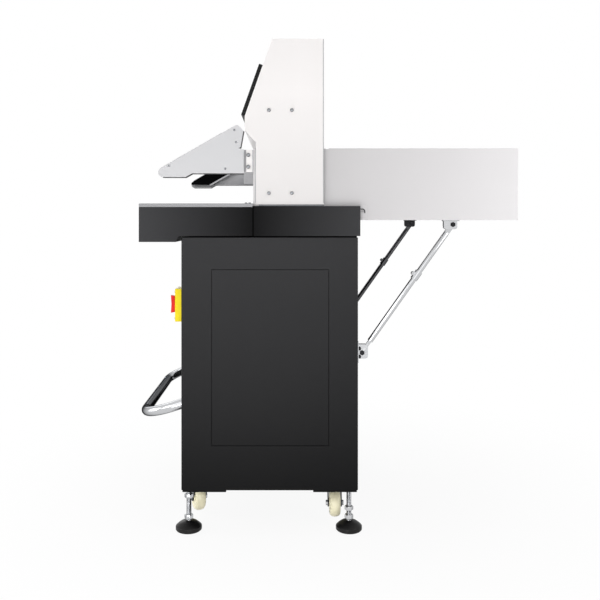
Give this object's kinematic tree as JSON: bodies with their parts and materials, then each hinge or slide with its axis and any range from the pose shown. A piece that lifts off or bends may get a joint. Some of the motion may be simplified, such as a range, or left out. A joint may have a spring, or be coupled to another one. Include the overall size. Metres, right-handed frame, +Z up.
{
  "type": "hydraulic paper cutter",
  "caption": "Floor-standing guillotine for stacks of paper: black cabinet, white knife tower with light-guard arms, front table and hooded rear table.",
  "frame": {"origin": "on the floor under the middle of the machine's bounding box", "axes": "+Z up, -Y towards the operator, +X to the operator's right"},
  "size_m": [0.752, 1.05, 1.345],
  "materials": {
    "cabinet_paint": "fine satin powder coat, near black",
    "bed_paint": "satin black enamel",
    "table_steel": "ground steel, light grey",
    "stick_plastic": "ivory polyamide",
    "cast_iron": "machined casting, grey",
    "tower_paint": "white powder coat",
    "screen_plastic": "black moulded housing",
    "screen_glass": "dark gloss screen face",
    "arm_paint": "light grey powder coat",
    "hood_paint": "light grey powder coat",
    "chrome": "bright chrome plate",
    "hydraulic_paint": "blue-grey enamel",
    "steel": "machined steel",
    "motor_paint": "black enamel",
    "knife_steel": "ground tool steel",
    "switch_yellow": "yellow moulded plate",
    "switch_red": "red moulded handle",
    "button_green": "green moulded push button",
    "pad_rubber": "black moulded pad",
    "fork_steel": "dark zinc",
    "wheel_nylon": "cream nylon"
  },
  "bodies": {
    "frame": {"cabinet_shell": "cabinet_paint", "service_panels": "cabinet_paint", "rear_panel": "cabinet_paint", "base_plates": "cabinet_paint", "bed_frame": "bed_paint", "front_apron": "bed_paint", "front_table": "table_steel", "bed_plate": "table_steel", "cutting_stick": "stick_plastic", "side_columns": "cast_iron", "crosshead": "cast_iron", "tower_side_right": "tower_paint", "tower_side_left": "tower_paint", "tower_front": "tower_paint", "tower_rear": "tower_paint", "screen_housing": "screen_plastic", "screen_glass": "screen_glass", "guard_arm_right": "arm_paint", "guard_arm_left": "arm_paint", "light_strips": "screen_plastic", "guard_brackets": "tower_paint", "rear_table": "table_steel", "hood_shell": "hood_paint", "hood_braces": "chrome", "brace_brackets": "arm_paint", "oil_tank": "hydraulic_paint", "pump_motor": "hydraulic_paint", "valve_block": "steel", "clamp_cylinder": "steel", "knife_cylinder": "steel", "gauge_bearings": "steel", "gauge_motor": "motor_paint", "pedal_brackets": "motor_paint", "switch_box": "switch_yellow", "button_bezels": "screen_plastic", "foot_pads": "pad_rubber", "foot_studs": "chrome", "caster_plates": "steel"},
    "lid": {"hood_lid": "hood_paint"},
    "clamp": {"clamp_beam": "steel"},
    "knife": {"knife_carrier": "steel", "knife_blade": "knife_steel"},
    "gauge": {"back_gauge": "steel"},
    "screw": {"gauge_screw": "steel"},
    "pedal_bar": {"pedal": "chrome"},
    "knob": {"switch_knob": "switch_red"},
    "button_right": {"cut_button_right": "button_green"},
    "button_left": {"cut_button_left": "button_green"},
    "swivel_1": {"caster_fork_1": "fork_steel"},
    "wheel_1": {"caster_wheel_1": "wheel_nylon"},
    "swivel_2": {"caster_fork_2": "fork_steel"},
    "wheel_2": {"caster_wheel_2": "wheel_nylon"},
    "swivel_3": {"caster_fork_3": "fork_steel"},
    "wheel_3": {"caster_wheel_3": "wheel_nylon"},
    "swivel_4": {"caster_fork_4": "fork_steel"},
    "wheel_4": {"caster_wheel_4": "wheel_nylon"}
  },
  "joints": [
    {"name": "lid_hinge", "type": "hinge", "parent": "frame", "child": "lid", "pos_m": [0, 0.0045, 1.053], "axis": [1, 0, 0], "range_deg": [0, 80]},
    {"name": "clamp_slide", "type": "slide", "parent": "frame", "child": "clamp", "axis": [0, 0, -1], "range_m": [0, 0.0795]},
    {"name": "knife_slide", "type": "slide", "parent": "frame", "child": "knife", "axis": [-0.39, 0, -0.9208], "range_m": [0, 0.0918]},
    {"name": "gauge_slide", "type": "slide", "parent": "frame", "child": "gauge", "axis": [0, 1, 0], "range_m": [0, 0.33]},
    {"name": "screw_spin", "type": "hinge", "parent": "frame", "child": "screw", "pos_m": [0, 0.1115, 0.872], "axis": [0, 1, 0], "range_deg": [0, 11880]},
    {"name": "pedal_hinge", "type": "hinge", "parent": "frame", "child": "pedal_bar", "pos_m": [0, -0.3185, 0.368], "axis": [1, 0, 0], "range_deg": [0, 12], "stiffness_Nm_per_rad": 30, "springref_deg": -14.32},
    {"name": "knob_turn", "type": "hinge", "parent": "frame", "child": "knob", "pos_m": [0.324, -0.4065, 0.624], "axis": [0, -1, 0], "range_deg": [0, 90]},
    {"name": "button_right_press", "type": "slide", "parent": "frame", "child": "button_right", "axis": [0, 1, 0], "range_m": [0, 0.005], "stiffness_N_per_m": 800, "springref_m": -0.002},
    {"name": "button_left_press", "type": "slide", "parent": "frame", "child": "button_left", "axis": [0, 1, 0], "range_m": [0, 0.005], "stiffness_N_per_m": 800, "springref_m": -0.002},
    {"name": "swivel_1_turn", "type": "hinge", "parent": "frame", "child": "swivel_1", "pos_m": [0.246, -0.3495, 0.11], "axis": [0, 0, 1], "continuous": true},
    {"name": "wheel_1_spin", "type": "hinge", "parent": "swivel_1", "child": "wheel_1", "pos_m": [0.22251, -0.35805, 0.056], "axis": [0.342, -0.9397, 0], "continuous": true},
    {"name": "swivel_2_turn", "type": "hinge", "parent": "frame", "child": "swivel_2", "pos_m": [0.246, 0.0325, 0.11], "axis": [0, 0, 1], "continuous": true},
    {"name": "wheel_2_spin", "type": "hinge", "parent": "swivel_2", "child": "wheel_2", "pos_m": [0.271, 0.0325, 0.056], "axis": [0, 1, 0], "continuous": true},
    {"name": "swivel_3_turn", "type": "hinge", "parent": "frame", "child": "swivel_3", "pos_m": [-0.246, -0.3495, 0.11], "axis": [0, 0, 1], "continuous": true},
    {"name": "wheel_3_spin", "type": "hinge", "parent": "swivel_3", "child": "wheel_3", "pos_m": [-0.22251, -0.35805, 0.056], "axis": [0.342, 0.9397, 0], "continuous": true},
    {"name": "swivel_4_turn", "type": "hinge", "parent": "frame", "child": "swivel_4", "pos_m": [-0.246, 0.0325, 0.11], "axis": [0, 0, 1], "continuous": true},
    {"name": "wheel_4_spin", "type": "hinge", "parent": "swivel_4", "child": "wheel_4", "pos_m": [-0.271, 0.0325, 0.056], "axis": [0, -1, 0], "continuous": true}
  ],
  "couplings": [
    {"joint": "screw_spin", "follows": "gauge_slide", "rad_per_m": 628.32}
  ]
}
